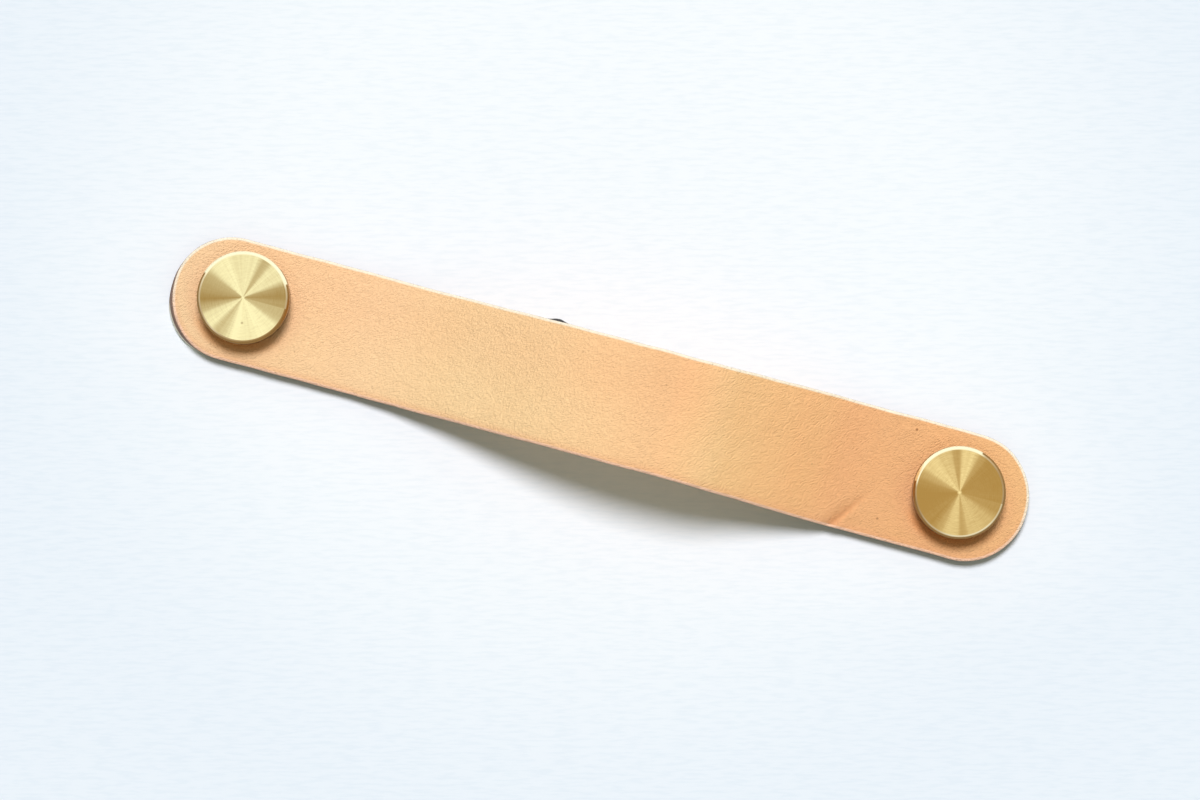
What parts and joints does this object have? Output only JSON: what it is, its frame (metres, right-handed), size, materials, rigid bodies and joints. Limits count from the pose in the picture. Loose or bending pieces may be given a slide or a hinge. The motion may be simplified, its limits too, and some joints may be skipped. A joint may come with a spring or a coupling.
{
  "type": "leather strap pull",
  "caption": "Drawer or cupboard pull: an arched leather strap held at each end by a turned brass knob, screwed on from behind the front.",
  "frame": {"origin": "on the face of the furniture front, midway between the centres of the two screw holes", "axes": "+X along the pull to the right knob, +Y across it to the strap's upper edge, +Z out of the furniture front"},
  "size_m": [0.1535, 0.0224, 0.0421],
  "materials": {
    "strap_leather": "smooth vegetable-tanned grain side, fine pores, brown cut edges",
    "knob_brass": "faced on a lathe, fine concentric marks, small bright chamfer",
    "screw_steel": "zinc plated"
  },
  "bodies": {
    "root": {"leather_strap": "strap_leather", "left_knob": "knob_brass", "right_knob": "knob_brass", "left_screw": "screw_steel", "right_screw": "screw_steel"}
  },
  "joints": []
}
